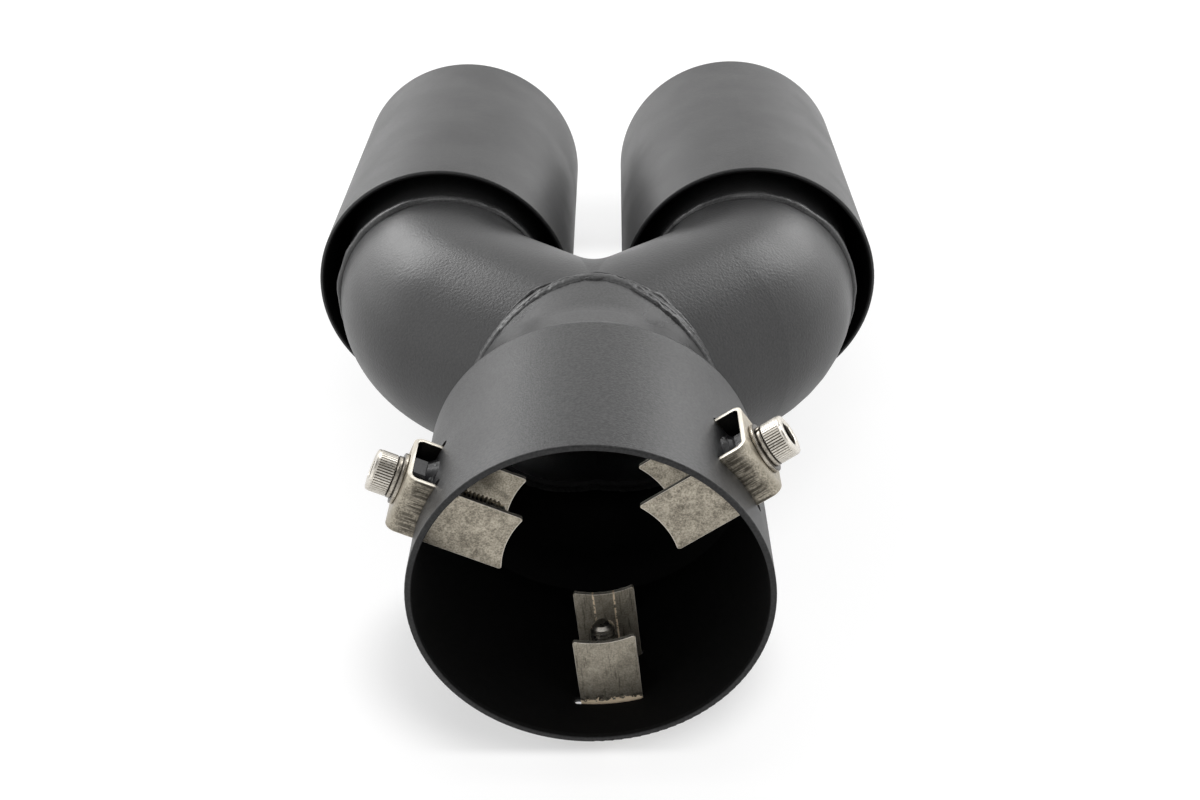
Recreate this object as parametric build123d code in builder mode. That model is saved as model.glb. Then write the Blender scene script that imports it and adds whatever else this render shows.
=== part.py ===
from build123d import *
import os
from math import cos, radians, sin, tan

# Twin-outlet exhaust tip with three screw clamps at its inlet, in millimetres.
# +Y runs from the inlet to the outlets and +Z is up.
# The origin is on the inlet axis, in the plane of the three clamp screws.

# Inlet sleeve and the neck swaged on its far end
sleeve_diameter = 82.5
sleeve_wall = 1.5
sleeve_length = 55.5  # mouth to shoulder
screw_depth = 20.6  # mouth to the plane of the clamp screws
shoulder_radius = 2.0
swage_angle = 45.0  # at its steepest, just past the shoulder
taper_angle = 6.5  # of the gentle cone between the swage and the neck
taper_length = 7.5
taper_bend = 36.0  # radius where the cone eases into the neck
neck_diameter = 68.0
neck_length = 39.7  # shoulder to the tip of the neck's mitred end
mitre_angle = 20.0
root_gap = 1.0  # left between the neck and the branches for the weld

# Branch tubes
branch_diameter = 64.0
branch_wall = 1.5
branch_setback = 1.5  # mitre tip to where the branch centrelines meet
branch_angle = 48.0  # heading at the middle, away from +Y
bend_radius = 43.0
weld_tilt = 5.0  # heading left over at the outlet weld
outlet_spacing = 95.0

# Outlet sleeves and the funnels inside them
outlet_diameter = 79.0
outlet_wall = 1.5
outlet_length = 104.5
rim_setback = 3.9  # outlet weld to the sleeve's rear rim
funnel_wall = 1.2
funnel_collar = 8.0
funnel_clearance = 0.05
rim_edge = 0.4  # rounding of the open rims

# Weld beads
neck_bead = 2.4
neck_bead_rise = 1.4  # how far the bead stands above the neck
centre_bead = 3.0
centre_bead_rise = 0.3
crotch_fill = 1.6
outlet_bead = 1.7
bead_overrun = 10.0  # degrees a half bead runs past the middle before it is trimmed

# Clamp clips, which grip a pipe of the grip diameter when fully closed
clamp_angles = {"lower": -84.6, "right": 34.8, "left": 155.4}
grip_diameter = 41.0
clip_width = 15.0
clip_length = 17.0  # along the inlet axis, outside the legs
clip_sheet = 1.0
clip_bend = 1.5  # inside the fold
clip_hole = 7.6
clip_shift = 0.7  # round the tip, within the play of the clip's hole on its screw
slot_side_clearance = 0.7
slot_end_clearance = 1.2

# Clamp screws, nuts and washers
screw_diameter = 6.0
screw_length = 27.0
screw_chamfer = 0.8
head_diameter = 9.8
head_height = 5.0
head_chamfer = 0.5
socket_size = 5.0
socket_depth = 2.5
nut_size = 10.0
nut_height = 5.0
nut_chamfer = 0.6
nut_foot = 1.0  # reach of the weld round the nut
nut_foot_height = 1.6
thread_clearance = 0.05
sleeve_hole = 7.0
washer_diameter = 12.0
washer_hole = 6.4
washer_thickness = 1.0
spring_diameter = 9.9
spring_hole = 6.2
spring_thickness = 1.1
spring_split = 0.9
spring_split_angle = 25.0

# Places that follow from the sizes above
sides = {"left": -1, "right": 1}
sleeve_radius = sleeve_diameter / 2
neck_radius = neck_diameter / 2
branch_radius = branch_diameter / 2
outlet_radius = outlet_diameter / 2
grip_radius = grip_diameter / 2
mouth_y = -screw_depth
shoulder_y = mouth_y + sleeve_length
mitre_y = shoulder_y + neck_length
meet_y = mitre_y + branch_setback
outlet_x = outlet_spacing / 2
straight_x = outlet_x - bend_radius * (1 - cos(radians(branch_angle)))
straight_length = straight_x / sin(radians(branch_angle))
straight_y = meet_y + straight_length * cos(radians(branch_angle))
bend_y = straight_y + bend_radius * sin(radians(branch_angle))
weld_x = outlet_x - bend_radius * (1 - cos(radians(weld_tilt)))
weld_y = bend_y - bend_radius * sin(radians(weld_tilt))
rear_y = weld_y + rim_setback
outlet_y = rear_y + outlet_length
web_radius = sleeve_radius + nut_height
clip_radius = web_radius + clip_sheet
spring_radius = clip_radius + washer_thickness
head_radius = spring_radius + spring_thickness
reach = 2 * outlet_y  # longer than the whole tip, for cutting solids

os.makedirs("parts", exist_ok=True)


def save(part, name):
    """Labels a finished piece and writes it under its name."""
    part.label = name
    export_step(part, f"parts/{name}.step")


def clamp_plane(angle, height=0):
    """A plane across a clamp screw: x along the tip, y round it and z outwards."""
    outwards = Vector(cos(radians(angle)), 0, sin(radians(angle)))
    return Plane(outwards * height, x_dir=(0, 1, 0), z_dir=outwards)


def clip_plane(angle):
    """A plane through a clamp screw and the inlet axis: x along the tip and y outwards."""
    return Plane((0, 0, 0), x_dir=(0, 1, 0), z_dir=(sin(radians(angle)), 0, -cos(radians(angle))))


def weld_plane(side):
    """The plane across a branch's outlet end, facing into the outlet."""
    heading = (side * sin(radians(weld_tilt)), cos(radians(weld_tilt)), 0)
    return Plane((side * weld_x, weld_y, 0), x_dir=(0, 0, 1), z_dir=heading)


def axis_rod(radius):
    """A round rod on the inlet axis, longer than the tip."""
    with BuildPart() as rod:
        with BuildSketch(Plane.XZ):
            Circle(radius)
        extrude(amount=reach, both=True)
    return rod.part


def half_space(side):
    """All that lies on one side of the middle plane."""
    towards_middle = Align.MIN if side > 0 else Align.MAX
    with BuildPart() as form:
        Box(reach, 2 * reach, reach, align=(towards_middle, Align.CENTER, Align.CENTER))
    return form.part


def sleeve_form(inset):
    """The inlet sleeve and neck as a solid of revolution, its outside moved in by the inset."""
    steep = radians(swage_angle)
    gentle = radians(taper_angle)
    tube = sleeve_radius - inset
    neck = neck_radius - inset
    convex = shoulder_radius - inset
    easing = taper_bend + inset
    drop = tube - neck - taper_length * sin(gentle)
    drop -= convex * (1 - cos(steep)) + easing * (1 - cos(gentle))
    concave = drop / (cos(gentle) - cos(steep))
    with BuildPart() as form:
        with BuildSketch():
            with BuildLine():
                Polyline((0, mouth_y), (tube, mouth_y), (tube, shoulder_y))
                shoulder = JernArc((tube, shoulder_y), (0, 1), convex, swage_angle)
                swage = JernArc(shoulder @ 1, shoulder % 1, concave, taper_angle - swage_angle)
                taper_end = swage @ 1 + (swage % 1) * taper_length
                Line(swage @ 1, taper_end)
                ease = JernArc(taper_end, swage % 1, easing, -taper_angle)
                Polyline(ease @ 1, (neck, meet_y), (0, meet_y), (0, mouth_y))
            make_face()
        revolve(axis=Axis.Y)
    return form.part


def beyond_mitre(gap):
    """All that lies past the neck's mitred end, moved towards the outlets by the gap."""
    tip = mitre_y + gap
    edge = tip - reach * tan(radians(mitre_angle))
    with BuildPart() as form:
        with BuildSketch():
            Polygon((-reach, edge), (0, tip), (reach, edge), (reach, reach), (-reach, reach), align=None)
        extrude(amount=reach, both=True)
    return form.part


def branch_form(side, radius):
    """A solid rod along one branch's centreline, from past the middle to its outlet weld."""
    heading = (side * sin(radians(branch_angle)), cos(radians(branch_angle)), 0)
    bend_start = Plane((side * straight_x, straight_y, 0), z_dir=heading)
    bend_axis = Axis((side * (outlet_x - bend_radius), bend_y, 0), (0, 0, side))
    with BuildPart() as form:
        with BuildSketch(bend_start):
            Circle(radius)
        extrude(amount=-2 * straight_length)
        with BuildSketch(bend_start):
            Circle(radius)
        revolve(axis=bend_axis, revolution_arc=branch_angle - weld_tilt)
    return form.part


def bead_form(plane, x_radius, y_radius, half_turn, bead_radius):
    """A round bead along an elliptical arc, the same length to each side of the plane's x direction."""
    with BuildPart() as form:
        with BuildLine(plane) as path:
            EllipticalCenterArc((0, 0), x_radius, y_radius, -half_turn, arc_size=2 * half_turn)
        with BuildSketch(Plane(path.line @ 0, z_dir=path.line % 0)):
            Circle(bead_radius)
        sweep(path=path.line)
    return form.part


def neck_bead_form(side):
    """One half of the bead round the neck, along the mitre's ellipse."""
    turn = radians(mitre_angle)
    along = (side * cos(turn), -sin(turn), 0)
    plane = Plane((0, mitre_y, 0), x_dir=along, z_dir=(-sin(turn), -side * cos(turn), 0))
    path_radius = neck_radius + neck_bead_rise - neck_bead
    with BuildPart() as form:
        add(bead_form(plane, path_radius / cos(turn), path_radius, 90 + bead_overrun, neck_bead))
        add(half_space(side), mode=Mode.INTERSECT)
    return form.part


def funnel_form(side, inset):
    """A funnel as a solid, from the branch's end out to its collar, its outside moved in by the inset."""
    collar_plane = Plane((side * outlet_x, outlet_y - funnel_collar, 0), x_dir=(0, 0, 1), z_dir=(0, 1, 0))
    collar = outlet_radius - outlet_wall - funnel_clearance - inset
    with BuildPart() as form:
        with BuildSketch(weld_plane(side)):
            Circle(branch_radius - inset)
        with BuildSketch(collar_plane):
            Circle(collar)
        loft()
        with BuildSketch(collar_plane):
            Circle(collar)
        extrude(amount=funnel_collar)
    return form.part


# Inlet sleeve, with two slots and a screw hole for each clamp
leg_offset = (clip_length - clip_sheet) / 2
slot_length = clip_width + 2 * slot_end_clearance
slot_width = clip_sheet + 2 * slot_side_clearance
with BuildPart() as inlet_sleeve:
    add(sleeve_form(0))
    add(sleeve_form(sleeve_wall), mode=Mode.SUBTRACT)
    add(beyond_mitre(-root_gap / 2), mode=Mode.SUBTRACT)
    fillet(inlet_sleeve.faces().sort_by(Axis.Y)[0].edges(), rim_edge)
    for angle in clamp_angles.values():
        with BuildSketch(clamp_plane(angle)):
            with Locations((-leg_offset, 0), (leg_offset, 0)):
                SlotOverall(slot_length, slot_width, rotation=90)
            Circle(sleeve_hole / 2)
        extrude(amount=reach, mode=Mode.SUBTRACT)
save(inlet_sleeve.part, "inlet_sleeve")

# Branches, each mitred to the neck and to the other branch
branch_rods = {}
for name, side in sides.items():
    with BuildPart() as rod:
        add(branch_form(side, branch_radius))
        add(half_space(side), mode=Mode.INTERSECT)
        add(beyond_mitre(root_gap / 2), mode=Mode.INTERSECT)
    branch_rods[name] = rod.part

    with BuildPart() as branch:
        add(branch_rods[name])
        add(branch_form(side, branch_radius - branch_wall), mode=Mode.SUBTRACT)
    save(branch.part, f"{name}_branch")

# Weld round the neck
with BuildPart() as neck_weld:
    add([neck_bead_form(side) for side in sides.values()])
    add(inlet_sleeve.part, mode=Mode.SUBTRACT)
    add(branch_rods.values(), mode=Mode.SUBTRACT)
    add(axis_rod(neck_radius - sleeve_wall), mode=Mode.SUBTRACT)
save(neck_weld.part, "neck_weld")

# Weld where the branches meet, nearly flush at the top and filling the crotch behind
with BuildPart() as centre_weld:
    seam_length = branch_radius / sin(radians(branch_angle)) - centre_bead + crotch_fill
    seam_height = branch_radius - centre_bead + centre_bead_rise
    seam_plane = Plane((0, meet_y, 0), x_dir=(0, 1, 0), z_dir=(1, 0, 0))
    add(bead_form(seam_plane, seam_length, seam_height, 90, centre_bead))
    add(branch_rods.values(), mode=Mode.SUBTRACT)
    add(neck_weld.part, mode=Mode.SUBTRACT)
save(centre_weld.part, "centre_weld")

# Outlets: the sleeve outside, the funnel inside it and the bead that joins the funnel to the branch
for name, side in sides.items():
    with BuildPart() as outlet_sleeve:
        with BuildSketch(Plane((side * outlet_x, rear_y, 0), z_dir=(0, 1, 0))):
            Circle(outlet_radius)
            Circle(outlet_radius - outlet_wall, mode=Mode.SUBTRACT)
        extrude(amount=outlet_length)
        fillet(outlet_sleeve.edges().filter_by(GeomType.CIRCLE), rim_edge)
    save(outlet_sleeve.part, f"{name}_outlet_sleeve")

    with BuildPart() as funnel:
        add(funnel_form(side, 0))
        add(funnel_form(side, funnel_wall), mode=Mode.SUBTRACT)
    save(funnel.part, f"{name}_funnel")

    with BuildPart() as branch_weld:
        weld_heading = weld_plane(side).z_dir
        with BuildSketch(Plane(weld_plane(side).origin, x_dir=weld_heading, z_dir=(0, 0, 1))):
            with Locations((0, branch_radius)):
                Circle(outlet_bead)
        revolve(axis=Axis(weld_plane(side).origin, weld_heading))
        add(branch_rods[name], mode=Mode.SUBTRACT)
        add(funnel_form(side, 0), mode=Mode.SUBTRACT)
    save(branch_weld.part, f"{name}_branch_weld")

# Clamps: the nut welded on the sleeve, the clip over it, and the screw with its two washers
base_up = (Align.CENTER, Align.CENTER, Align.MIN)
base_down = (Align.CENTER, Align.CENTER, Align.MAX)
nut_corner = nut_size / 2 / cos(radians(30))
clip_inside = clip_length - 2 * clip_sheet
fold_span = (web_radius - clip_sheet / 2, web_radius + clip_sheet / 2)
for name, angle in clamp_angles.items():
    outwards = Axis((0, 0, 0), clamp_plane(angle).z_dir)

    with BuildPart() as nut:
        with Locations(clamp_plane(angle)):
            Cylinder(nut_corner, web_radius, align=base_up)
        chamfer(nut.edges().sort_by(outwards)[-1], nut_chamfer)
        with BuildSketch(clamp_plane(angle)):
            RegularPolygon(nut_size / 2, 6, major_radius=False)
        extrude(amount=web_radius, mode=Mode.INTERSECT)
        with Locations(clamp_plane(angle, sleeve_radius - nut_foot_height)):
            Cone(nut_corner + 2 * nut_foot, nut_corner, 2 * nut_foot_height, align=base_up)
        add(axis_rod(sleeve_radius), mode=Mode.SUBTRACT)
        with BuildSketch(clamp_plane(angle)):
            Circle(screw_diameter / 2 + thread_clearance)
        extrude(amount=web_radius, mode=Mode.SUBTRACT)
    save(nut.part, f"{name}_nut")

    with BuildPart() as clip:
        with BuildSketch(clip_plane(angle).offset(-clip_shift)) as section:
            with Locations((0, clip_radius)):
                Rectangle(clip_length, clip_radius, align=(Align.CENTER, Align.MAX))
            fillet(section.vertices().group_by(Axis.Y)[-1], clip_bend + clip_sheet)
            with Locations((0, web_radius)):
                Rectangle(clip_inside, web_radius, align=(Align.CENTER, Align.MAX), mode=Mode.SUBTRACT)
            fillet(section.vertices().filter_by_position(Axis.Y, *fold_span), clip_bend)
        extrude(amount=clip_width / 2, both=True)
        add(axis_rod(grip_radius), mode=Mode.SUBTRACT)
        with BuildSketch(clamp_plane(angle)):
            with Locations((0, clip_shift)):
                Circle(clip_hole / 2)
        extrude(amount=reach, mode=Mode.SUBTRACT)
    save(clip.part, f"{name}_clip")

    with BuildPart() as flat_washer:
        with BuildSketch(clamp_plane(angle, clip_radius)):
            Circle(washer_diameter / 2)
            Circle(washer_hole / 2, mode=Mode.SUBTRACT)
        extrude(amount=washer_thickness)
    save(flat_washer.part, f"{name}_flat_washer")

    with BuildPart(clamp_plane(angle, spring_radius)) as spring_washer:
        with BuildSketch(clamp_plane(angle, spring_radius)):
            Circle(spring_diameter / 2)
            Circle(spring_hole / 2, mode=Mode.SUBTRACT)
        extrude(amount=spring_thickness)
        with Locations((0, 0, spring_thickness / 2)):
            Box(
                spring_split, spring_diameter, spring_diameter, rotation=(0, spring_split_angle, 0),
                align=(Align.CENTER, Align.MIN, Align.CENTER), mode=Mode.SUBTRACT,
            )
    save(spring_washer.part, f"{name}_spring_washer")

    with BuildPart(clamp_plane(angle, head_radius)) as screw:
        Cylinder(head_diameter / 2, head_height, align=base_up)
        chamfer(screw.edges().sort_by(outwards)[-1], head_chamfer)
        Cylinder(screw_diameter / 2, screw_length, align=base_down)
        chamfer(screw.edges().sort_by(outwards)[0], screw_chamfer)
        with BuildSketch(clamp_plane(angle, head_radius + head_height)):
            RegularPolygon(socket_size / 2, 6, major_radius=False)
        extrude(amount=-socket_depth, mode=Mode.SUBTRACT)
    save(screw.part, f"{name}_screw")
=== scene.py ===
from math import atan2, cos, pi, radians, sin, sqrt, tan

import bmesh
import bpy
from mathutils import Matrix, Vector, noise


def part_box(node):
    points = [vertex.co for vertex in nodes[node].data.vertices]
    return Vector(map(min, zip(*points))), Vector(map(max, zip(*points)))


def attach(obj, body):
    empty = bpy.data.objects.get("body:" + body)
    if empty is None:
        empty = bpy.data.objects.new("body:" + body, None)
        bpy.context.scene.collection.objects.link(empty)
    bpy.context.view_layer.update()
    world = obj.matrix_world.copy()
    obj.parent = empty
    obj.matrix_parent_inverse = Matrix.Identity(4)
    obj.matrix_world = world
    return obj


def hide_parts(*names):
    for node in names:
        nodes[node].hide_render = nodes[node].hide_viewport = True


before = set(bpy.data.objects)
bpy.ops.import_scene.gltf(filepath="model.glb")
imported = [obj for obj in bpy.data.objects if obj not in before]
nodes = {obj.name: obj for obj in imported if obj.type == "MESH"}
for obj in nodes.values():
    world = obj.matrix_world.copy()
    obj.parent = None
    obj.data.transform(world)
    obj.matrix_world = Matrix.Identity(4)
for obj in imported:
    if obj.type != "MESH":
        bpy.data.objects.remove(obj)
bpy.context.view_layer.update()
scene = bpy.context.scene
scene.view_settings.view_transform = "Standard"
mm = 0.001
clampAngles = {"lower": -84.6, "right": 34.8, "left": 155.4}
sides = {"left": -1, "right": 1}
print("frame loaded:", len(nodes), "nodes")


# small helpers for node trees
def setInputs(tree, node, inputs):
    for name, value in inputs.items():
        if isinstance(value, bpy.types.NodeSocket):
            tree.links.new(value, node.inputs[name])
        else:
            node.inputs[name].default_value = value


def addNode(tree, kind, inputs=None, **settings):
    made = tree.nodes.new("ShaderNode" + kind)
    for name, value in settings.items():
        setattr(made, name, value)
    setInputs(tree, made, inputs or {})
    return made


def addMath(tree, operation, *values):
    return addNode(tree, "Math", dict(enumerate(values)), operation=operation).outputs[0]


def addProduct(tree, value, *factors):
    for factor in factors:
        value = addMath(tree, "MULTIPLY", value, factor)
    return value


# one less a share of the value
def addRest(tree, value, share=1.0):
    return addMath(tree, "SUBTRACT", 1.0, addProduct(tree, value, share))


def addRamp(tree, value, low, high, outLow=0.0, outHigh=1.0):
    spread = {"Value": value, "From Min": low, "From Max": high, "To Min": outLow, "To Max": outHigh}
    return addNode(tree, "MapRange", spread, interpolation_type="SMOOTHSTEP").outputs[0]


# a ramp from 0 at the span's first place to 1 at its second, both in millimetres
def addSpan(tree, value, span):
    return addRamp(tree, value, span[0] * mm, span[1] * mm)


def addMix(tree, factor, first, second):
    return addNode(tree, "Mix", {"Factor": factor, 6: first, 7: second}, data_type="RGBA").outputs[2]


def addReach(tree, first, second):
    squares = [addMath(tree, "MULTIPLY", value, value) for value in (first, second)]
    return addMath(tree, "SQRT", addMath(tree, "ADD", *squares))


def addNoise(tree, place, scale, detail=2.0, roughness=0.5):
    inputs = {"Vector": place, "Scale": scale, "Detail": detail, "Roughness": roughness}
    return addNode(tree, "TexNoise", inputs).outputs["Fac"]


def addBump(tree, height, depth, strength=1.0):
    inputs = {"Strength": strength, "Distance": depth, "Height": height}
    return addNode(tree, "Bump", inputs).outputs["Normal"]


def addPlace(tree):
    return addNode(tree, "TexCoord").outputs["Object"]


def addAxes(tree, place):
    axes = addNode(tree, "SeparateXYZ", {0: place})
    return axes.outputs["X"], axes.outputs["Y"], axes.outputs["Z"]


def newGroup(name, outputs, inputs):
    group = bpy.data.node_groups.new(name, "ShaderNodeTree")
    for socketName, kind in outputs.items():
        group.interface.new_socket(socketName, in_out="OUTPUT", socket_type="NodeSocket" + kind)
    for socketName, value in inputs.items():
        kind = "Color" if isinstance(value, tuple) else "Float"
        socket = group.interface.new_socket(socketName, in_out="INPUT", socket_type="NodeSocket" + kind)
        socket.default_value = value
    return group, group.nodes.new("NodeGroupInput"), group.nodes.new("NodeGroupOutput")


def newMaterial(name):
    material = bpy.data.materials.new(name)
    material.use_nodes = True
    tree = material.node_tree
    return material, tree, tree.nodes["Principled BSDF"]


def dress(node, material):
    node.data.materials.clear()
    node.data.materials.append(material)


# fine orange-peel grain, soft clouding and flecks of the sprayed coat
grainSet = {"detail": 2.0, "roughness": 0.55, "cloudDetail": 3.0, "fleck": 1500.0, "fleckDetail": 1.0}
coatGrain, grainIn, grainOut = newGroup(
    "coatGrain", {"Height": "Float", "Cloud": "Float", "Fleck": "Float"}, {"Grain": 2200.0, "Clouding": 45.0})
place = addPlace(coatGrain)
setInputs(coatGrain, grainOut, {
    "Height": addNoise(coatGrain, place, grainIn.outputs["Grain"], grainSet["detail"], grainSet["roughness"]),
    "Cloud": addNoise(coatGrain, place, grainIn.outputs["Clouding"], grainSet["cloudDetail"]),
    "Fleck": addNoise(coatGrain, place, grainSet["fleck"], grainSet["fleckDetail"])})

coatFinish = {
    "dark": (0.014, 0.014, 0.0145, 1), "light": (0.044, 0.044, 0.0445, 1), "cloudShare": 0.25, "span": (0.3, 0.7),
    "roughness": (0.37, 0.45), "gloss": 0.0, "grain": 2200.0, "peelDepth": 0.00007,
    "inside": (0.004, 0.004, 0.004, 1), "insideRoughness": 0.75, "paintedShade": 0.7, "wallFade": (-0.2, 0.2)}


# sprayed coat; a bore gives the axis and mid-wall radius inside which the wall gets painted shade: a near-black colour,
# rough and partly metal
def coatMaterial(name, bore=None, **changes):
    finish = {**coatFinish, **changes}
    material, tree, shader = newMaterial(name)
    texture = addNode(tree, "Group", {"Grain": finish["grain"]}, node_tree=coatGrain)
    cloud, fleck, peel = (texture.outputs[output] for output in ("Cloud", "Fleck", "Height"))
    share = finish["cloudShare"]
    shade = addMath(tree, "ADD", addProduct(tree, cloud, share), addProduct(tree, fleck, 1 - share))
    colour = addMix(tree, addRamp(tree, shade, *finish["span"]), finish["dark"], finish["light"])
    low, high = (level - finish["gloss"] for level in finish["roughness"])
    rough = addRamp(tree, cloud, *finish["span"], low, high)
    if bore:
        x, y, z = addAxes(tree, addPlace(tree))
        wall = bore["radius"] * mm
        swage = bore.get("swage")
        if swage:
            run = {"Value": y, "From Min": swage["end"] * mm, "From Max": swage["start"] * mm}
            before = addNode(tree, "MapRange", run).outputs[0]
            wider = addProduct(tree, addMath(tree, "POWER", before, swage["power"]), swage["wider"] * mm)
            lip = addProduct(tree, addSpan(tree, y, swage["lip"]), swage["lipDepth"] * mm)
            wall = addMath(tree, "SUBTRACT", addMath(tree, "ADD", wider, wall), lip)
        reach = addReach(tree, addMath(tree, "SUBTRACT", x, bore["x"] * mm), z)
        outside = addSpan(tree, addMath(tree, "SUBTRACT", reach, wall), finish["wallFade"])
        if swage:
            # the mouth's end face takes part of the painted shade
            endFace = addSpan(tree, y, swage["endFace"])
            outside = addProduct(tree, outside, addRest(tree, endFace, swage["endShade"]))
            smooth = addSpan(tree, y, swage["smooth"])
            rough = addMath(tree, "SUBTRACT", rough, addProduct(tree, smooth, swage["gloss"]))
            peel = addProduct(tree, peel, addRest(tree, smooth, swage["peelLost"]))
        # painted shade inside the wall: near-black colour, high roughness and some metal
        within = addRest(tree, outside)
        colour = addMix(tree, outside, finish["inside"], colour)
        shadeRough = addProduct(tree, within, finish["insideRoughness"])
        rough = addMath(tree, "ADD", addProduct(tree, outside, rough), shadeRough)
        setInputs(tree, shader, {"Metallic": addProduct(tree, within, finish["paintedShade"])})  # metal on the near-black colour keeps the painted shade dark
    normal = addBump(tree, peel, finish["peelDepth"])
    setInputs(tree, shader, {"Base Color": colour, "Roughness": rough, "Normal": normal})
    return material


# the sleeve's wall narrows past its shoulder, where it is drawn smooth, and its coat runs over the mouth's end face,
# which also takes part of the inside's painted shade
sleeveBore = {"x": 0.0, "radius": 33.25, "swage": {
    "start": 34.9, "end": 59.4, "wider": 7.25, "power": 2.8, "smooth": (34.9, 36.9), "gloss": 0.12, "peelLost": 0.7,
    "lip": (-17.6, -19.6), "lipDepth": 0.65, "endFace": (-20.1, -20.4), "endShade": 0.4}}
outletBore = {"x": 47.5, "radius": 38.75}
smoothCoat = {"dark": (0.023, 0.023, 0.0235, 1), "light": (0.035, 0.035, 0.0355, 1)}
nutLight = (0.011, 0.011, 0.013, 1)
branchCoat = coatMaterial("branchCoat", gloss=0.07, grain=1300.0, peelDepth=0.00008, **smoothCoat)
funnelCoat = coatMaterial("funnelCoat", **smoothCoat)
weldCoat = coatMaterial("weldCoat", gloss=0.06, grain=700.0)
groundCoat = coatMaterial("groundCoat", grain=600.0)
nutCoat = coatMaterial("nutCoat", gloss=0.2, grain=420.0, dark=(0.006, 0.006, 0.007, 1), light=nutLight)
nutWeldCoat = coatMaterial("nutWeldCoat", gloss=0.06, grain=420.0, dark=(0.005, 0.005, 0.006, 1), light=nutLight)
dress(nodes["inlet_sleeve"], coatMaterial("sleeveCoat", sleeveBore))
for name, side in sides.items():
    sideBore = {**outletBore, "x": side * outletBore["x"]}
    dress(nodes[name + "_outlet_sleeve"], coatMaterial(name + "OutletCoat", sideBore, **smoothCoat))
    dress(nodes[name + "_branch"], branchCoat)
    dress(nodes[name + "_funnel"], funnelCoat)
print("coat made")

# bare stainless: blotches, speckle and dark specks, one group for clips and hardware
mottleSet = {
    "blotchDetail": 4.0, "speckleDetail": 2.0, "roughness": 0.6, "blotchShare": 0.4, "span": (0.3, 0.7),
    "speck": (1500.0, 3.0, 0.7), "speckSpan": (0.64, 0.76), "speckColour": (0.05, 0.045, 0.035, 1)}
mottle, mottleIn, mottleOut = newGroup(
    "steelMottle", {"Color": "Color", "Rough": "Float", "Height": "Float"},
    {"Tone": (0.5, 0.46, 0.38, 1), "Deep": (0.30, 0.27, 0.22, 1), "Blotch": 420.0, "Speckle": 2400.0,
     "RoughLow": 0.3, "RoughHigh": 0.5, "Specks": 0.6})
place = addPlace(mottle)
share, roughness = mottleSet["blotchShare"], mottleSet["roughness"]
blotch = addNoise(mottle, place, mottleIn.outputs["Blotch"], mottleSet["blotchDetail"], roughness)
speckle = addNoise(mottle, place, mottleIn.outputs["Speckle"], mottleSet["speckleDetail"], roughness)
mixed = addMath(mottle, "ADD", addProduct(mottle, blotch, share), addProduct(mottle, speckle, 1 - share))
tint = addRamp(mottle, mixed, *mottleSet["span"])
stained = addMix(mottle, tint, mottleIn.outputs["Deep"], mottleIn.outputs["Tone"])
specks = addRamp(mottle, addNoise(mottle, place, *mottleSet["speck"]), *mottleSet["speckSpan"])
specks = addProduct(mottle, specks, mottleIn.outputs["Specks"])
polish = addNode(mottle, "MapRange", {
    "Value": blotch, "From Min": mottleSet["span"][0], "From Max": mottleSet["span"][1],
    "To Min": mottleIn.outputs["RoughHigh"], "To Max": mottleIn.outputs["RoughLow"]}).outputs[0]
setInputs(mottle, mottleOut, {
    "Color": addMix(mottle, specks, stained, mottleSet["speckColour"]), "Rough": polish, "Height": speckle})


# object coordinates turned so that Z runs out along the clamp's screw, X round the tip and Y along it
def clampPlace(tree, angle):
    inputs = {"Vector": addPlace(tree), "Rotation": (0.0, radians(angle - 90), 0.0)}
    return addNode(tree, "Mapping", inputs).outputs[0]


clipShape = {
    "sheet": 1.0, "slack": 0.1, "straight": 0.99, "crease": 40, "edge": 0.14, "edgeSteps": 2, "corner": 0.9,
    "cornerSteps": 4, "cornerReach": 24.0, "shift": 0.7, "uneven": {"lower": 1.0, "right": 0.0, "left": 0.0},
    "sharp": 35}
clipFinish = {
    "sheet": {"Tone": (0.54, 0.49, 0.40, 1), "Deep": (0.17, 0.152, 0.12, 1), "RoughLow": 0.32, "RoughHigh": 0.5},
    "drawn": {"Tone": (0.46, 0.42, 0.345, 1), "Deep": (0.24, 0.218, 0.175, 1), "RoughLow": 0.5, "RoughHigh": 0.62},
    "web": (0.46, 0.42, 0.345, 1), "scrapeAndShade": (0.07, 0.062, 0.05, 1), "paintedShade": (0.012, 0.012, 0.013, 1),
    "edgeGlint": (0.70, 0.66, 0.58, 1), "rubAndLight": (0.95, 0.78, 0.56, 1), "speckleDepth": 0.00002, "stretch": (1.0, 1.0, 0.07)}
# how much of each mark shows at its strongest; the last is how far the rubbed lines and the painted band of light stop
# being metal
clipMarks = {"web": 0.65, "scrapeAndShade": 0.85, "paintedShade": 0.93, "edgeGlint": 0.9, "line": 0.55, "legShade": 0.8, "bareAndLit": 0.85}
# where each mark begins and is full, in millimetres on the clamp's axes
clipZones = {
    "leg": (8.2, 8.4), "slotLow": (40.0, 41.5), "slotHigh": (46.2, 43.6), "web": (46.0, 46.9), "inner": (7.62, 7.54),
    "innerLow": (40.0, 41.0), "innerHigh": (46.75, 46.4), "endCut": (20.75, 20.6), "sideCut": (7.36, 7.42),
    "front": (-8.2, -8.4), "legShade": (36.9, 38.2), "litBand": (38.6, 38.9), "ragged": 0.9, "far": (0.0, 1.0),
    "rubWidth": (0.36, 0.1), "rubbedAt": (2.0, -3.1)}
# noise of each mark: scale, detail, roughness, and the values where it begins and is full
clipNoise = {
    "streak": (1300.0, 3.0, 0.6, 0.43, 0.58), "line": (1900.0, 3.0, 0.6, 0.54, 0.68),
    "legShade": (700.0, 3.0, 0.5, 0.35, 0.6), "ragged": (900.0, 4.0, 0.65, 0.2, 0.8), "rubAndLight": (1300.0, 2.0, 0.5, 0.36, 0.5)}


def addPattern(tree, place, pattern, *outRange):
    return addRamp(tree, addNoise(tree, place, *pattern[:3]), *pattern[3:], *outRange)
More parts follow.
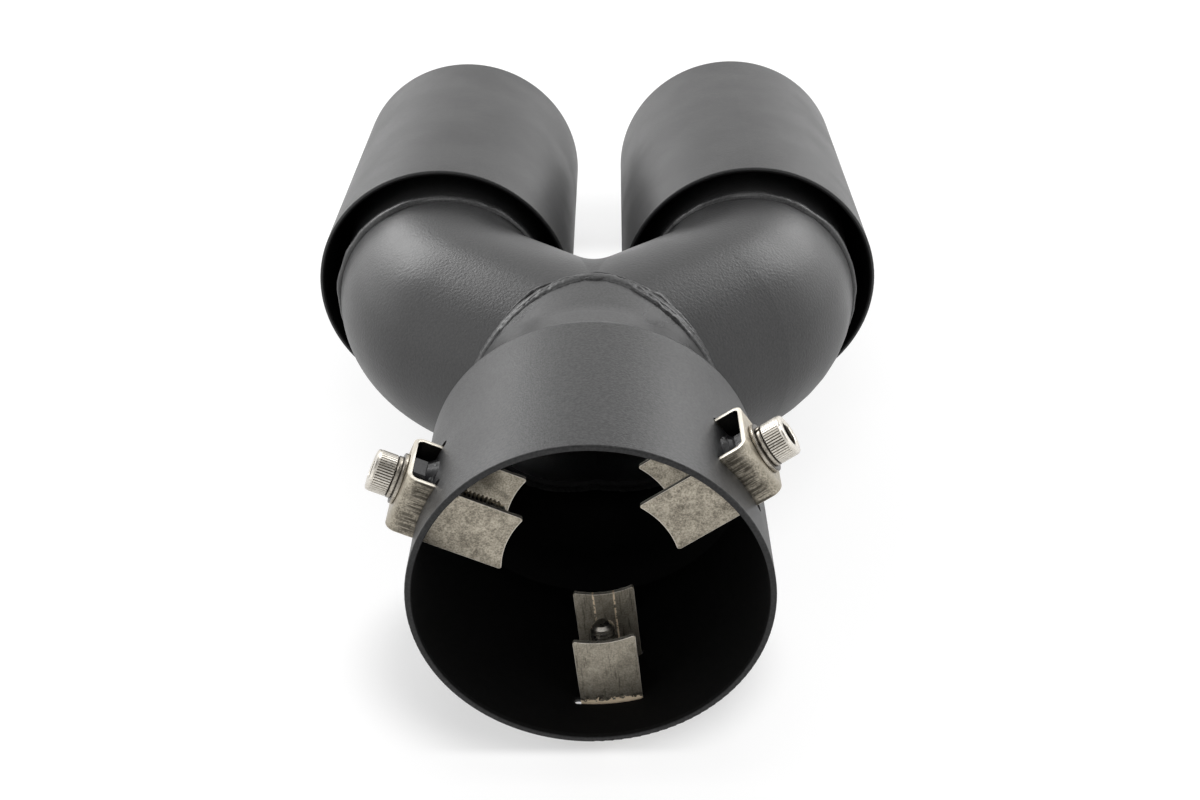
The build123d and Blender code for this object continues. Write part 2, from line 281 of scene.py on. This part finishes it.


# clip sheet, scraped dark where it has run in its slots, with painted shade between its legs and a painted highlight
# along its sheared edges; the lower one is drawn and rubbed bare in places, with painted bands of shade and light low
# on its near leg
def clipMaterial(name, angle):
    rubbed = name == "lower"
    material, tree, shader = newMaterial(name + "ClipSteel")
    texture = addNode(tree, "Group", clipFinish["drawn" if rubbed else "sheet"], node_tree=mottle)
    place = clampPlace(tree, angle)
    x, y, z = addAxes(tree, place)
    offMiddle = addMath(tree, "ABSOLUTE", y)
    drawn = addNode(tree, "Mapping", {"Vector": place, "Scale": clipFinish["stretch"]}).outputs[0]
    zones = clipZones

    # one mark over the colour so far
    def paint(colour, mask, mark, tone):
        return addMix(tree, addProduct(tree, mask, clipMarks[mark]), colour, clipFinish[tone])

    colour = paint(texture.outputs["Color"], addSpan(tree, z, zones["web"]), "web", "web")
    inSlot = addProduct(tree, addSpan(tree, z, zones["slotLow"]), addSpan(tree, z, zones["slotHigh"]))
    streak = addPattern(tree, drawn, clipNoise["streak"])
    onLeg = addSpan(tree, offMiddle, zones["leg"])
    colour = paint(colour, addProduct(tree, streak, inSlot, onLeg), "scrapeAndShade", "scrapeAndShade")
    # painted shade on the legs' inner faces, between the legs
    between = addProduct(tree, addSpan(tree, z, zones["innerLow"]), addSpan(tree, z, zones["innerHigh"]))
    colour = paint(colour, addProduct(tree, addSpan(tree, offMiddle, zones["inner"]), between), "paintedShade", "paintedShade")
    # painted highlight along the sheared ends and sides of the sheet
    uneven = addProduct(tree, addMath(tree, "SIGN", y), clipShape["uneven"][name] * mm)
    endCut = addSpan(tree, addMath(tree, "ADD", addReach(tree, x, z), uneven), zones["endCut"])
    offCentre = addMath(tree, "ABSOLUTE", addMath(tree, "ADD", x, clipShape["shift"] * mm))
    sideCut = addSpan(tree, offCentre, zones["sideCut"])
    colour = paint(colour, addMath(tree, "MAXIMUM", endCut, sideCut), "edgeGlint", "edgeGlint")
    metal = 1.0
    if rubbed:  # drawn lines all over, painted bands of shade and then light low on the near leg, and two rubbed lines down the far one
        colour = paint(colour, addPattern(tree, drawn, clipNoise["line"]), "line", "scrapeAndShade")
        front = addSpan(tree, y, zones["front"])
        # painted shade: a dark band on the near leg just above the wall
        legShade = addProduct(tree, addSpan(tree, z, zones["legShade"]), addPattern(tree, place, clipNoise["legShade"]), front)
        colour = paint(colour, legShade, "legShade", "scrapeAndShade")
        # painted light: a pale warm band below it by the wall's slot, made less metal so that it stays bright
        ragged = addPattern(tree, place, clipNoise["ragged"], -zones["ragged"] * mm, zones["ragged"] * mm)
        masks = [addProduct(tree, addSpan(tree, addMath(tree, "ADD", z, ragged), zones["litBand"]), front)]
        far = addProduct(tree, addSpan(tree, y, zones["far"]), addPattern(tree, place, clipNoise["rubAndLight"]))
        for across in zones["rubbedAt"]:
            off = addMath(tree, "ABSOLUTE", addMath(tree, "SUBTRACT", x, across * mm))
            masks.append(addProduct(tree, addSpan(tree, off, zones["rubWidth"]), far))
        for mask in masks:
            colour = addMix(tree, mask, colour, clipFinish["rubAndLight"])
            metal = addProduct(tree, addRest(tree, mask, clipMarks["bareAndLit"]), metal)
    normal = addBump(tree, texture.outputs["Height"], clipFinish["speckleDepth"])
    setInputs(tree, shader, {
        "Base Color": colour, "Roughness": texture.outputs["Rough"], "Metallic": metal, "Normal": normal})
    return material


hardwareFinish = {
    "screw": {"Tone": (0.86, 0.82, 0.75, 1), "Deep": (0.60, 0.56, 0.49, 1), "RoughLow": 0.22, "RoughHigh": 0.36},
    "washer": {"Tone": (0.60, 0.555, 0.48, 1), "Deep": (0.26, 0.235, 0.20, 1), "RoughLow": 0.22, "RoughHigh": 0.36},
    "recessShade": (0.045, 0.038, 0.03, 1), "shadeShare": 0.9, "speckleDepth": 0.00001, "speckleStrength": 0.6}
# where the painted shade begins and is full, in millimetres on the clamp's axes
shadeZones = {
    "headLow": (49.5, 49.6), "headHigh": (53.7, 53.5), "flute": (4.84, 4.66), "shankLow": (24.0, 28.0),
    "shankHigh": (49.0, 48.0), "thread": (2.9, 2.5), "joints": (47.25, 48.25, 49.35), "joint": (0.2, 0.05)}


# screws and washers, with painted shade in the head's flutes, in the thread's roots and between the washers
def hardwareMaterial(name, angle, kind):
    material, tree, shader = newMaterial(name)
    texture = addNode(tree, "Group", hardwareFinish[kind], node_tree=mottle)
    x, y, z = addAxes(tree, clampPlace(tree, angle))
    reach = addReach(tree, x, y)
    recessShade = 0.0
    # painted shade in the head's flutes and the thread's roots
    for low, high, depth in (("headLow", "headHigh", "flute"), ("shankLow", "shankHigh", "thread")):
        within = addProduct(tree, addSpan(tree, z, shadeZones[low]), addSpan(tree, z, shadeZones[high]))
        root = addProduct(tree, addSpan(tree, reach, shadeZones[depth]), within)
        recessShade = addMath(tree, "MAXIMUM", root, recessShade)
    # painted shade lines where the web, washers and head meet
    for joint in shadeZones["joints"]:
        off = addMath(tree, "ABSOLUTE", addMath(tree, "SUBTRACT", z, joint * mm))
        recessShade = addMath(tree, "MAXIMUM", recessShade, addSpan(tree, off, shadeZones["joint"]))
    recessShade = addProduct(tree, recessShade, hardwareFinish["shadeShare"])
    colour = addMix(tree, recessShade, texture.outputs["Color"], hardwareFinish["recessShade"])
    height = texture.outputs["Height"]
    normal = addBump(tree, height, hardwareFinish["speckleDepth"], hardwareFinish["speckleStrength"])
    setInputs(tree, shader, {
        "Base Color": colour, "Roughness": texture.outputs["Rough"], "Metallic": 1.0, "Normal": normal})
    return material


print("steel made")


def finishPiece(name, bm, material, body, slotName, *replaced, sharp):
    bmesh.ops.recalc_face_normals(bm, faces=bm.faces)
    mesh = bpy.data.meshes.new(name)
    bm.to_mesh(mesh)
    bm.free()
    mesh.shade_smooth()
    mesh.set_sharp_from_angle(angle=radians(sharp))
    mesh.materials.append(material)
    piece = bpy.data.objects.new(name, mesh)
    scene.collection.objects.link(piece)
    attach(piece, body)
    if replaced:
        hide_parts(*replaced)


def shrinkToMetres(bm):
    bmesh.ops.scale(bm, vec=(mm, mm, mm), verts=bm.verts)


def loopEdges(verts):
    return list({edge for vert in verts for edge in vert.link_edges})


strandSet = {"sides": 12, "merge": 0.002, "sharp": 70}


# one strand of weld: a grid rolled up along spots that give the centre, outward direction, half width and height
def addStrand(bm, spots, closed, ripple):
    count, sideCount = len(spots), strandSet["sides"]
    frames = []
    run = 0.0
    for index, (centre, outwards, width, height) in enumerate(spots):
        before = spots[index - 1][0] if closed or index else centre
        after = spots[(index + 1) % count][0] if closed or index < count - 1 else centre
        along = (after - before).normalized()
        across = along.cross(outwards).normalized()
        run += (after - before).length / 2
        frames.append((centre, across * width, across.cross(along) * height, run))
    columns = count if closed else count - 1
    rolled = bmesh.ops.create_grid(bm, x_segments=columns, y_segments=sideCount, size=1.0)["verts"]
    for vert in rolled:
        centre, across, up, run = frames[round((vert.co.x + 1) / 2 * columns) % count]
        turn = round((vert.co.y + 1) / 2 * sideCount) % sideCount * 2 * pi / sideCount
        side = cos(turn)
        phase = run / ripple["pitch"] + ripple["lean"] * side + ripple["crescent"] * side * side
        off = across * side + up * sin(turn)
        lump = noise.noise((centre + off) * ripple["lumpScale"])
        vert.co = centre + off * (1 + ripple["depth"] * sin(2 * pi * phase) + ripple["lumps"] * lump)
    bmesh.ops.remove_doubles(bm, verts=rolled, dist=strandSet["merge"])
    if not closed:
        bmesh.ops.holes_fill(bm, edges=[edge for edge in bm.edges if edge.is_boundary], sides=0)


neckWeld = {
    "neck": 34.0, "branch": 32.0, "tip": 74.6, "meet": 76.1, "mitre": tan(radians(20)), "heading": radians(48),
    "step": 0.4, "ease": 0.01, "easeShift": 0.05}
ripples = {
    "smooth": {"pitch": 1.9, "lean": 0.0, "crescent": 0.3, "depth": 0.02, "lumps": 0.14, "lumpScale": 0.45},
    "drawn": {"pitch": 1.15, "lean": 1.1, "crescent": 0.2, "depth": 0.045, "lumps": 0.2, "lumpScale": 0.55}}
# passes of the neck weld, each by points of degrees from the top, shift towards the outlets, half width and height
neckPasses = [
    {"ripple": "smooth", "sink": 0.5, "points": [
        (-180, 0.8, 2.8, 1.4), (-90, -0.3, 2.8, 1.4), (-50, -0.3, 2.9, 1.4), (-28, 1.6, 2.9, 1.4), (0, 1.6, 2.4, 1.4),
        (30, 1.4, 3.0, 1.4), (50, -0.6, 3.0, 1.4), (90, -0.3, 2.8, 1.4), (180, 0.8, 2.8, 1.4)]},
    {"ripple": "smooth", "sink": 0.35, "points": [
        (-105, -0.1, 1.6, 1.0), (-88, -0.3, 2.2, 1.2), (-70, -0.6, 2.6, 1.3), (-56, -0.8, 2.6, 1.3),
        (-49, -0.6, 2.4, 1.3), (-42, 0.4, 2.1, 1.3), (-33, 1.0, 1.8, 1.3), (-23, 1.9, 1.5, 1.25),
        (-13, 2.5, 1.35, 1.2), (-4, 1.2, 1.3, 1.15), (2, 0.5, 1.15, 1.1), (9, 1.2, 0.8, 0.9), (14, 1.8, 0.3, 0.4)]},
    {"ripple": "smooth", "sink": 0.3, "points": [
        (-46, 2.6, 0.3, 0.3), (-40, 3.6, 0.5, 0.7), (-34, 4.6, 0.55, 0.8), (-29, 5.7, 0.6, 0.85),
        (-23, 4.7, 0.55, 0.8), (-17, 4.0, 0.3, 0.3)]},
    {"ripple": "smooth", "sink": 0.3, "points": [
        (-7, 2.3, 0.2, 0.2), (-3, 2.5, 0.6, 0.8), (2.4, 3.1, 0.9, 0.95), (8, 3.4, 0.75, 0.8), (13, 3.5, 0.2, 0.2)]},
    {"ripple": "drawn", "sink": 0.35, "points": [
        (-9, 0.9, 0.3, 0.3), (0, -0.2, 0.8, 0.9), (11, 1.4, 0.9, 1.0), (24, -1.1, 1.1, 1.1), (37, -2.0, 1.3, 1.15),
        (50, -2.9, 1.5, 1.2), (65, -2.2, 1.8, 1.2), (88, -0.9, 2.1, 1.2), (108, -0.4, 1.5, 0.9)]},
    {"ripple": "drawn", "sink": 0.35, "points": [
        (2, 1.6, 0.3, 0.3), (12, 2.4, 0.9, 1.0), (24, 1.0, 1.2, 1.2), (37, 0.4, 1.4, 1.25), (50, -0.4, 1.4, 1.25),
        (64, 0.3, 1.3, 1.1), (78, 0.6, 0.5, 0.4)]},
    {"ripple": "drawn", "sink": 0.35, "points": [
        (5, 3.3, 0.2, 0.2), (12, 3.7, 0.7, 0.8), (20, 2.9, 0.95, 1.0), (27, 3.3, 1.2, 1.15), (32, 4.4, 1.45, 1.25),
        (37, 2.8, 1.2, 1.1), (45, 2.4, 1.15, 1.1), (56, 1.4, 0.9, 1.0), (66, 1.3, 0.3, 0.3)]},
    {"ripple": "drawn", "sink": 0.35, "points": [
        (84, -0.2, 1.4, 0.8), (100, -0.2, 2.2, 1.2), (125, 0.4, 2.4, 1.3), (150, 0.9, 2.1, 1.2), (180, 1.2, 1.8, 1.2),
        (210, 0.8, 2.3, 1.3), (240, 0.2, 2.2, 1.2), (262, -0.3, 2.0, 1.1), (276, -0.3, 1.2, 0.7)]},
]


# distance of the branch surface from the inlet axis, beside the weld
def hostReach(turn, y):
    lean, ahead = sin(neckWeld["heading"]), cos(neckWeld["heading"])
    off = y - neckWeld["meet"]
    a = 1 - (sin(turn) * lean) ** 2
    b = abs(sin(turn)) * lean * off * ahead
    c = off * off * (1 - ahead * ahead) - neckWeld["branch"] ** 2
    return (b + sqrt(b * b - a * c)) / a


def neckSpot(degrees, points, sink):
    for near, far in zip(points, points[1:]):
        if degrees <= far[0]:
            break
    share = min(max((degrees - near[0]) / (far[0] - near[0]), 0.0), 1.0)
    share *= share * (3 - 2 * share)
    shift, width, height = [a + (b - a) * share for a, b in zip(near[1:], far[1:])]
    turn = radians(degrees)
    outwards = Vector((sin(turn), 0, cos(turn)))
    sideways = sqrt(sin(turn) ** 2 + neckWeld["ease"]) - neckWeld["easeShift"]
    y = neckWeld["tip"] - neckWeld["mitre"] * neckWeld["neck"] * sideways + shift
    reach = max(hostReach(turn, y), neckWeld["neck"])
    return outwards * (reach - sink * height) + Vector((0, y, 0)), outwards, width, height


bm = bmesh.new()
for weldPass in neckPasses:
    points = weldPass["points"]
    start, sweep = points[0][0], points[-1][0] - points[0][0]
    count = int(sweep / neckWeld["step"])
    closed = sweep == 360
    stations = range(count if closed else count + 1)
    spots = [neckSpot(start + sweep * station / count, points, weldPass["sink"]) for station in stations]
    addStrand(bm, spots, closed, ripples[weldPass["ripple"]])
shrinkToMetres(bm)
finishPiece("neck_bead", bm, weldCoat, "tip", "matte_black_coat", "neck_weld", sharp=strandSet["sharp"])

outletWeld = {
    "x": 47.336, "y": 134.27, "tilt": radians(5), "radius": 32.0, "width": 2.2, "height": 1.4, "sink": 0.1,
    "spots": 600,
    "ripple": {"pitch": 2.6, "lean": 0.5, "crescent": 0.6, "depth": 0.015, "lumps": 0.3, "lumpScale": 0.17}}
for name, side in sides.items():
    end = Matrix.Translation((side * outletWeld["x"], outletWeld["y"], 0))
    end = end @ Matrix.Rotation(-side * outletWeld["tilt"], 4, "Z")
    spots = []
    for index in range(outletWeld["spots"]):
        turn = 2 * pi * index / outletWeld["spots"]
        outwards = Vector((sin(turn), 0, cos(turn)))
        centre = outwards * (outletWeld["radius"] - outletWeld["sink"])
        spots.append((end @ centre, end.to_3x3() @ outwards, outletWeld["width"], outletWeld["height"]))
    bm = bmesh.new()
    addStrand(bm, spots, True, outletWeld["ripple"])
    shrinkToMetres(bm)
    finishPiece(
        name + "_branch_bead", bm, weldCoat, "tip", "matte_black_coat", name + "_branch_weld", sharp=strandSet["sharp"])
print("beads made")

# ground fillet between the branches: arcs of a rolling ball, bridged from the underside to the top
seam = {
    "radius": 32.0, "ball": 13.5, "meet": 76.1, "heading": radians(48), "steps": 10, "stations": 89, "rise": 88,
    "thickness": 0.8, "sharp": 80}
bm = bmesh.new()
rows = []
lean, ahead = sin(seam["heading"]), cos(seam["heading"])
for station in range(seam["stations"]):
    rise = radians(-seam["rise"] + 2 * seam["rise"] * station / (seam["stations"] - 1))
    far = seam["radius"] + seam["ball"]
    ball = Vector((0, seam["meet"] + far * cos(rise) / lean, far * sin(rise)))
    axisRun = (ball.y - seam["meet"]) * ahead
    foot = Vector((axisRun * lean, seam["meet"] + axisRun * ahead, 0))
    start = (foot - ball).normalized()
    end = Vector((-start.x, start.y, start.z))
    known = set(bm.edges)
    corner = bmesh.ops.create_vert(bm, co=ball + start * seam["ball"])["vert"]
    axis = start.cross(end).normalized()
    bmesh.ops.spin(bm, geom=corner, cent=ball, axis=axis, angle=start.angle(end), steps=seam["steps"])
    rows.append([edge for edge in bm.edges if edge not in known])
for near, far in zip(rows, rows[1:]):
    bmesh.ops.bridge_loops(bm, edges=near + far)
for face in bm.faces:
    face.normal_update()
if sum(face.normal.y * face.calc_area() for face in bm.faces) < 0:  # the wall grows away from the ball
    bmesh.ops.reverse_faces(bm, faces=bm.faces)
bmesh.ops.solidify(bm, geom=bm.faces, thickness=seam["thickness"])
shrinkToMetres(bm)
finishPiece("centre_fillet", bm, groundCoat, "tip", "matte_black_coat", "centre_weld", sharp=seam["sharp"])
print("centre fillet made")


def clampMatrix(angle):
    outwards = Vector((cos(radians(angle)), 0, sin(radians(angle))))
    along = Vector((0, 1, 0))
    return Matrix((along, outwards.cross(along), outwards)).transposed().to_4x4()


cadSet = {"merge": 0.002, "flat": 1, "crease": 40}


# a copy of a CAD node with its flats joined up, ready for rounding
def cadCopy(name):
    bm = bmesh.new()
    bm.from_mesh(nodes[name].data)
    bmesh.ops.remove_doubles(bm, verts=bm.verts, dist=cadSet["merge"] * mm)
    bmesh.ops.dissolve_limit(bm, angle_limit=radians(cadSet["flat"]), verts=bm.verts, edges=bm.edges)
    return bm


def bevelEdges(bm, edges, offset, segments, clamped=False):
    bmesh.ops.bevel(
        bm, geom=edges, offset=offset * mm, affect="EDGES", segments=segments, profile=0.5, material=-1,
        clamp_overlap=clamped)


def roundEdges(bm, offset, segments):
    folded = [edge for edge in bm.edges if len(edge.link_faces) == 2]
    creased = [edge for edge in folded if edge.calc_face_angle() > radians(cadSet["crease"])]
    bevelEdges(bm, creased, offset, segments, clamped=True)


# a closed shape from rings of vertices, capped at both ends
def bridgeRings(bm, rings):
    loops = [loopEdges(ring) for ring in rings]
    for near, far in zip(loops, loops[1:]):
        bmesh.ops.bridge_loops(bm, edges=near + far)
    bmesh.ops.holes_fill(bm, edges=loops[0] + loops[-1], sides=0)


def addRing(bm, count, radius, height):
    raised = Matrix.Translation((0, 0, height))
    return bmesh.ops.create_circle(bm, segments=count, radius=radius, matrix=raised)["verts"]


# heights run out from the inlet axis; the head's rings have a height, a radius and flutes or none
screwShape = {
    "head": [
        (49.35, 2.6, False), (49.35, 4.55, False), (49.57, 4.78, False), (49.69, 4.9, True), (53.4, 4.9, True),
        (53.53, 4.8, False), (53.85, 4.84, False), (54.19, 4.64, False), (54.35, 4.15, False), (54.35, 3.15, False)],
    "flutes": 48, "perFlute": 4, "fluteDepth": 0.3, "socket": 2.5, "socketHeights": (54.13, 51.85),
    "tip": 22.35, "tipRadius": 1.7, "tipSlope": 1.04, "core": 2.47, "coreTop": 49.85, "threadStart": 22.95,
    "threadSteps": 28, "turns": 25, "pitch": 1.0, "tooth": [(2.3, 0.013), (3.0, 0.42), (3.0, 0.58), (2.3, 0.987)],
    "sharp": 30}


def addScrew(bm, angle):
    shape = screwShape
    count = shape["flutes"] * shape["perFlute"]
    rings = []
    for height, reach, fluted in shape["head"]:
        ring = addRing(bm, count, reach, height)
        for index, vert in enumerate(ring):
            if fluted and index % shape["perFlute"] == 0:
                vert.co.xy *= 1 - shape["fluteDepth"] / reach
        rings.append(ring)
    for height in shape["socketHeights"]:  # hexagon
        ring = addRing(bm, count, 1.0, height)
        for vert in ring:
            turn = (atan2(vert.co.y, vert.co.x) + 2 * pi) % (pi / 3) - pi / 6
            vert.co.xy *= shape["socket"] / cos(turn)
        rings.append(ring)
    bridgeRings(bm, rings)
    # core of the shank, with a chamfered tip
    tip, core, steps = shape["tip"], shape["core"], shape["threadSteps"]
    chamfer = (core - shape["tipRadius"]) / shape["tipSlope"]
    profile = [(shape["tipRadius"], tip), (core, tip + chamfer), (core, shape["coreTop"])]
    bridgeRings(bm, [addRing(bm, steps, reach, height) for reach, height in profile])
    # thread: one tooth spun up the core
    pitch, turns = shape["pitch"], shape["turns"]
    places = [(reach, 0, shape["threadStart"] + height * pitch) for reach, height in shape["tooth"]]
    verts = [bmesh.ops.create_vert(bm, co=place)["vert"][0] for place in places]
    edges = [bm.edges.new(pair) for pair in zip(verts, verts[1:] + verts[:1])]
    bmesh.ops.spin(
        bm, geom=verts + edges, cent=(0, 0, 0), axis=(0, 0, 1), dvec=(0, 0, pitch / steps), angle=2 * pi * turns,
        steps=steps * turns)
    bmesh.ops.holes_fill(bm, edges=[edge for edge in bm.edges if edge.is_boundary], sides=0)
    for vert in bm.verts:  # the tip's chamfer cuts the first thread too
        reach = vert.co.xy.length
        allowed = shape["tipRadius"] + (vert.co.z - tip) * shape["tipSlope"]
        if reach > allowed:
            vert.co.xy *= allowed / reach
    bmesh.ops.transform(bm, matrix=clampMatrix(angle), verts=bm.verts)


# edges across the sheet at the corners of the legs' ends
def legCorners(bm, outwards):
    corners = []
    for edge in bm.edges:
        near, far = (vert.co for vert in edge.verts)
        across = abs(far.y - near.y)
        thick = abs(across - clipShape["sheet"] * mm) < clipShape["slack"] * mm
        straight = across > clipShape["straight"] * (far - near).length
        atEnd = ((near + far) / 2).dot(outwards) < clipShape["cornerReach"] * mm
        if thick and straight and atEnd and edge.calc_face_angle() > radians(clipShape["crease"]):
            corners.append(edge)
    return corners


washers = {
    "washer": {"copied": "flat_washer", "edge": 0.22, "steps": 3, "sharp": 35},
    "split_washer": {"copied": "spring_washer", "edge": 0.14, "steps": 2, "sharp": 35}}
nutBead = {
    "ring": 5.7, "width": 1.5, "height": 1.0, "sleeve": 41.25, "lift": 0.25, "spots": 160,
    "ripple": {"pitch": 2.8, "lean": 0.3, "crescent": 0.3, "depth": 0.03, "lumps": 0.45, "lumpScale": 0.42}}
for name, angle in clampAngles.items():
    body = name + "_clamp"
    clipSteel = clipMaterial(name, angle)
    screwSteel = hardwareMaterial(name + "Hardware", angle, "screw")
    washerSteel = hardwareMaterial(name + "WasherSteel", angle, "washer")
    outwards = Vector((cos(radians(angle)), 0, sin(radians(angle))))

    bm = cadCopy(name + "_clip")
    bevelEdges(bm, legCorners(bm, outwards), clipShape["corner"], clipShape["cornerSteps"])
    roundEdges(bm, clipShape["edge"], clipShape["edgeSteps"])
    for vert in bm.verts:  # the far leg's end stands further in than the near one's
        if vert.co.dot(outwards) < clipShape["cornerReach"] * mm:
            vert.co -= outwards * clipShape["uneven"][name] * mm * (1 if vert.co.y > 0 else -1)
    finishPiece(
        name + "_clip_sheet", bm, clipSteel, body, "stainless_sheet", name + "_clip", sharp=clipShape["sharp"])

    for kind, washer in washers.items():
        node = name + "_" + washer["copied"]
        bm = cadCopy(node)
        roundEdges(bm, washer["edge"], washer["steps"])
        finishPiece(name + "_" + kind, bm, washerSteel, body, "stainless_hardware", node, sharp=washer["sharp"])

    bm = bmesh.new()
    addScrew(bm, angle)
    shrinkToMetres(bm)
    finishPiece(
        name + "_clamp_bolt", bm, screwSteel, body + "_screw", "stainless_hardware", name + "_screw",
        sharp=screwShape["sharp"])

    spots = []
    for index in range(nutBead["spots"]):
        turn = 2 * pi * index / nutBead["spots"]
        along, across = nutBead["ring"] * cos(turn), nutBead["ring"] * sin(turn)
        height = sqrt(nutBead["sleeve"] ** 2 - across ** 2) + nutBead["lift"]
        slanted = Vector((cos(turn), sin(turn), 1.0)).normalized()
        spots.append((Vector((along, across, height)), slanted, nutBead["width"], nutBead["height"]))
    bm = bmesh.new()
    addStrand(bm, spots, True, nutBead["ripple"])
    bmesh.ops.transform(bm, matrix=clampMatrix(angle), verts=bm.verts)
    shrinkToMetres(bm)
    finishPiece(name + "_nut_bead", bm, nutWeldCoat, "tip", "matte_black_coat", sharp=strandSet["sharp"])
    dress(nodes[name + "_nut"], nutCoat)
print("clamps made")

# floor through the lowest screw head and the outlets' far edges; it glows to the eye, less so in two places by the
# mouth and between the outlets, where shadow is painted
floorSet = {
    "size": 8.0, "colour": (0.86, 0.86, 0.86, 1), "roughness": 0.9, "lift": 0.68, "glow": 1.18, "mirrored": 0.36,
    "mouthShade": 0.40, "mouthPlace": (-9.0, 25.0), "mouthSize": (48.0, 35.0), "mouthFade": (1.3, 0.85),
    "mouthFront": (-11.5, -7.5), "gapShade": 0.6, "gapSide": (60.0, 40.0), "gapFar": (340.0, 280.0),
    "gapNear": (240.0, 260.0)}
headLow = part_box("lower_screw")[0].z
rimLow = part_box("left_outlet_sleeve")[0].z
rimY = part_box("left_outlet_sleeve")[1].y
slope = (rimLow - headLow) / rimY
bm = bmesh.new()
bmesh.ops.create_grid(bm, x_segments=1, y_segments=1, size=floorSet["size"] / 2)
tilted = Matrix.Translation((0, 0, headLow)) @ Matrix.Rotation(atan2(slope, 1), 4, "X")
bmesh.ops.transform(bm, matrix=tilted, verts=bm.verts)
floorMesh = bpy.data.meshes.new("floor")
bm.to_mesh(floorMesh)
bm.free()
floor = bpy.data.objects.new("floor", floorMesh)
scene.collection.objects.link(floor)
floorMaterial, tree, shader = newMaterial("paleFloor")
setInputs(tree, shader, {
    "Base Color": floorSet["colour"], "Roughness": floorSet["roughness"], "Specular IOR Level": 0.0})
lightPath = addNode(tree, "LightPath")
mirrored = addProduct(tree, lightPath.outputs["Is Glossy Ray"], floorSet["mirrored"])
seen = addMath(tree, "MAXIMUM", lightPath.outputs["Is Camera Ray"], mirrored)
glow = addNode(tree, "Emission", {"Color": (1, 1, 1, 1), "Strength": floorSet["glow"]})
x, y, z = addAxes(tree, addPlace(tree))
# painted shadow: less glow near the mouth and in the gap between the outlets
offs = [
    addMath(tree, "DIVIDE", addMath(tree, "SUBTRACT", axis, centre * mm), size * mm)
    for axis, centre, size in zip((x, y), floorSet["mouthPlace"], floorSet["mouthSize"])]
nearMouth = addRamp(tree, addReach(tree, *offs), *floorSet["mouthFade"])
nearMouth = addProduct(tree, nearMouth, addSpan(tree, y, floorSet["mouthFront"]), floorSet["mouthShade"])
inGap = addSpan(tree, addMath(tree, "ABSOLUTE", x), floorSet["gapSide"])
inGap = addProduct(tree, inGap, addSpan(tree, y, floorSet["gapFar"]), addSpan(tree, y, floorSet["gapNear"]))
shade = addMath(tree, "ADD", nearMouth, addProduct(tree, inGap, floorSet["gapShade"]))
lift = addProduct(tree, seen, addMath(tree, "SUBTRACT", floorSet["lift"], shade))
both = addNode(tree, "MixShader", {0: lift, 1: shader.outputs[0], 2: glow.outputs[0]})
setInputs(tree, tree.nodes["Material Output"], {"Surface": both.outputs[0]})
floorMesh.materials.append(floorMaterial)

# world: white to the eye; as light, bright behind and beside the object and dim in front
# axis, where the light begins and is full on it, and strength
worldSet = {
    "behind": ("Y", 0.0, 0.7, 1.12), "front": ("Y", -0.2, -0.8, 0.62),
    "left": ("X", -0.4, -0.9, 1.22), "right": ("X", 0.4, 0.9, 0.98)}
world = bpy.data.worlds.new("studio")
scene.world = world
world.use_nodes = True
tree = world.node_tree
heading = addNode(tree, "SeparateXYZ", {0: addNode(tree, "TexCoord").outputs["Generated"]})
light = 0.0
for axis, low, high, strength in worldSet.values():
    light = addMath(tree, "ADD", addRamp(tree, heading.outputs[axis], low, high, 0.0, strength), light)
worldPath = addNode(tree, "LightPath")
looking = addMath(tree, "MAXIMUM", worldPath.outputs["Is Camera Ray"], worldPath.outputs["Is Transmission Ray"])
strength = addMath(tree, "ADD", addProduct(tree, addRest(tree, looking), light), looking)
setInputs(tree, tree.nodes["Background"], {"Color": (1, 1, 1, 1), "Strength": strength})


def addSoftbox(name, place, target, size, power):
    lamp = bpy.data.lights.new(name, "AREA")
    lamp.shape = "RECTANGLE"
    lamp.size, lamp.size_y = size, size
    lamp.energy = power
    lampObject = bpy.data.objects.new(name, lamp)
    lampObject.location = place
    lampObject.rotation_euler = (target - Vector(place)).to_track_quat("-Z", "Y").to_euler()
    scene.collection.objects.link(lampObject)


# soft boxes behind the object to its left and right: turn from straight behind, rise, distance, size, watts
softboxes = {"left": (-45, 33, 1.3, 0.65, 5.1), "right": (45, 33, 1.3, 0.65, 4.3)}
topBox = {"place": (0, -0.05, 1.25), "size": 0.55, "power": 2.8}
middle = Vector((0, 0.09, 0))
for name, (turn, rise, distance, size, power) in softboxes.items():
    level = cos(radians(rise))
    away = Vector((sin(radians(turn)) * level, cos(radians(turn)) * level, sin(radians(rise))))
    addSoftbox(name + "Box", middle + away * distance, middle, size, power)
addSoftbox("topBox", topBox["place"], middle, topBox["size"], topBox["power"])
print("stage and light made")

# camera fitted to the photograph
cameraSet = {
    "place": (6.70 * mm, -278.58 * mm, 203.44 * mm), "pitch": 30.386, "yaw": 0.860, "roll": -0.913, "lens": 44.125,
    "sensor": 36.0, "nearest": 0.01}
lens = bpy.data.cameras.new("camera")
lens.lens = cameraSet["lens"]
lens.sensor_width = cameraSet["sensor"]
lens.clip_start = cameraSet["nearest"]
camera = bpy.data.objects.new("camera", lens)
camera.matrix_world = (
    Matrix.Translation(cameraSet["place"])
    @ Matrix.Rotation(radians(cameraSet["yaw"]), 4, "Z")
    @ Matrix.Rotation(radians(90 - cameraSet["pitch"]), 4, "X")
    @ Matrix.Rotation(radians(cameraSet["roll"]), 4, "Z")
)
scene.collection.objects.link(camera)
scene.camera = camera

print("scene ready")
